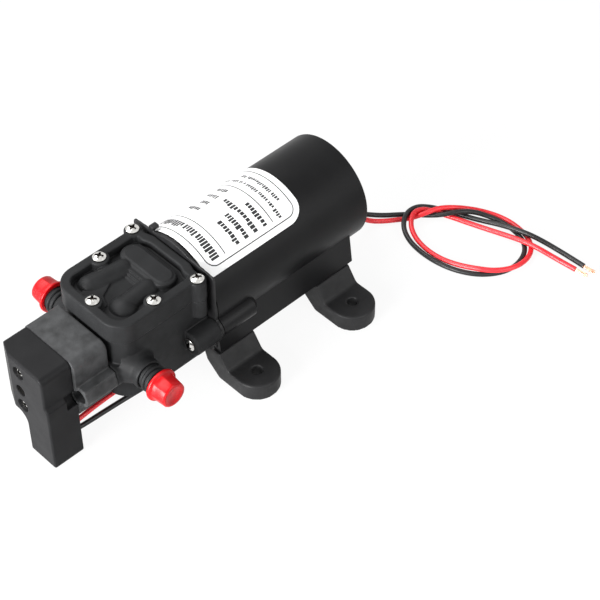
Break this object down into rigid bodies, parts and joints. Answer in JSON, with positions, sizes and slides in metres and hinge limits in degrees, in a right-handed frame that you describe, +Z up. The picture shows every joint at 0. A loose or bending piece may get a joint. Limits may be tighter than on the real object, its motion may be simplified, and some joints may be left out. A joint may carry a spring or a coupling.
{
  "type": "diaphragm pump",
  "caption": "Small diaphragm water pump with a sleeved motor, pressure switch, two capped side ports, slide-in rubber feet and loose supply leads.",
  "frame": {"origin": "centre of the four mounting holes, on the plane that the feet stand on", "axes": "+X towards the motor's rear along its shaft, +Y towards the inlet port, +Z up"},
  "size_m": [0.237, 0.1396, 0.0624],
  "materials": {
    "housing_black": "fine grained satin",
    "head_black": "satin",
    "plate_black": "satin",
    "switch_grey": "mottled satin",
    "switch_black": "smooth satin",
    "zinc_steel": "zinc plated",
    "bare_steel": "machined",
    "cap_red": "gloss",
    "foot_rubber": "satin",
    "seal_rubber": "satin",
    "white_plastic": "satin",
    "label_white": "satin print",
    "lead_red": "satin",
    "lead_black": "satin",
    "copper": "bare copper",
    "tinned_brass": "tinned",
    "ferrite": "sintered",
    "core_iron": "stamped",
    "carbon": "pressed carbon"
  },
  "bodies": {
    "pump": {"motor_housing": "housing_black", "motor_can": "bare_steel", "magnets": "ferrite", "front_bearing": "bare_steel", "rear_bearing": "bare_steel", "brushes": "carbon", "brush_springs": "tinned_brass", "brush_plate": "switch_grey", "motor_rear_cover": "housing_black", "lead_grommet": "seal_rubber", "backing_plate": "plate_black", "pump_body": "head_black", "top_cover": "head_black", "cover_screws": "zinc_steel", "case_screws": "zinc_steel", "valve_plate": "white_plastic", "cover_seal": "seal_rubber", "inlet_port": "head_black", "outlet_port": "head_black", "diaphragm": "seal_rubber", "switch_block": "switch_grey", "sensing_diaphragm": "seal_rubber", "block_screws": "zinc_steel", "pressure_spring": "bare_steel", "switch_cover": "switch_black", "switch_cover_screws": "zinc_steel", "microswitch_case": "switch_black", "microswitch_terminals": "tinned_brass", "lever_pin": "bare_steel", "label": "label_white", "red_lead": "lead_red", "black_lead": "lead_black", "red_lead_strands": "copper", "black_lead_strands": "copper", "switch_wire_red": "lead_red", "switch_wire_black": "lead_black", "foot_front_right": "foot_rubber", "foot_front_left": "foot_rubber", "foot_rear_right": "foot_rubber", "foot_rear_left": "foot_rubber"},
    "rotor": {"motor_shaft": "bare_steel", "armature_core": "core_iron", "armature_windings": "copper", "commutator": "copper", "eccentric_hub": "bare_steel", "hub_grub_screw": "bare_steel"},
    "rod": {"rod_bearing": "bare_steel", "connecting_rod": "white_plastic", "diaphragm_clamp": "bare_steel", "clamp_screw": "zinc_steel"},
    "inlet_valve": {"inlet_valve": "seal_rubber"},
    "outlet_valve": {"outlet_valve": "seal_rubber"},
    "switch_plunger": {"switch_plunger": "white_plastic"},
    "adjusting_screw": {"adjusting_screw": "tinned_brass"},
    "switch_lever": {"switch_lever": "tinned_brass"},
    "microswitch_button": {"microswitch_button": "cap_red"},
    "inlet_cap": {"inlet_cap": "cap_red"},
    "outlet_cap": {"outlet_cap": "cap_red"}
  },
  "joints": [
    {"name": "rotor_spin", "type": "hinge", "parent": "pump", "child": "rotor", "pos_m": [0, 0, 0.0382], "axis": [1, 0, 0], "continuous": true, "deforming": ["diaphragm"]},
    {"name": "rod_swing", "type": "hinge", "parent": "rotor", "child": "rod", "pos_m": [0, 0, 0.0397], "axis": [1, 0, 0], "continuous": true},
    {"name": "inlet_valve_lift", "type": "slide", "parent": "pump", "child": "inlet_valve", "axis": [0, 0, -1], "range_m": [0, 0.0008], "stiffness_N_per_m": 20},
    {"name": "outlet_valve_lift", "type": "slide", "parent": "pump", "child": "outlet_valve", "axis": [0, 0, 1], "range_m": [0, 0.0008], "stiffness_N_per_m": 20},
    {"name": "plunger_travel", "type": "slide", "parent": "pump", "child": "switch_plunger", "axis": [-1, 0, 0], "range_m": [0, 0.0012], "stiffness_N_per_m": 3000, "deforming": ["pressure_spring", "sensing_diaphragm"]},
    {"name": "lever_turn", "type": "hinge", "parent": "pump", "child": "switch_lever", "pos_m": [-0.108, 0, 0.0244], "axis": [0, -1, 0], "range_deg": [0, 7]},
    {"name": "button_travel", "type": "slide", "parent": "pump", "child": "microswitch_button", "axis": [1, 0, 0], "range_m": [0, 0.0011]},
    {"name": "adjuster_turn", "type": "hinge", "parent": "pump", "child": "adjusting_screw", "pos_m": [-0.11, 0.002, 0.0344], "axis": [1, 0, 0], "range_deg": [-540, 540]},
    {"name": "inlet_cap_pull", "type": "slide", "parent": "pump", "child": "inlet_cap", "axis": [0, 1, 0], "range_m": [0, 0.02]},
    {"name": "outlet_cap_pull", "type": "slide", "parent": "pump", "child": "outlet_cap", "axis": [0, -1, 0], "range_m": [0, 0.02]}
  ],
  "couplings": [
    {"joint": "rod_swing", "follows": "rotor_spin", "ratio": -1},
    {"joint": "lever_turn", "follows": "plunger_travel", "rad_per_m": 100},
    {"joint": "button_travel", "follows": "plunger_travel", "ratio": 0.88}
  ]
}
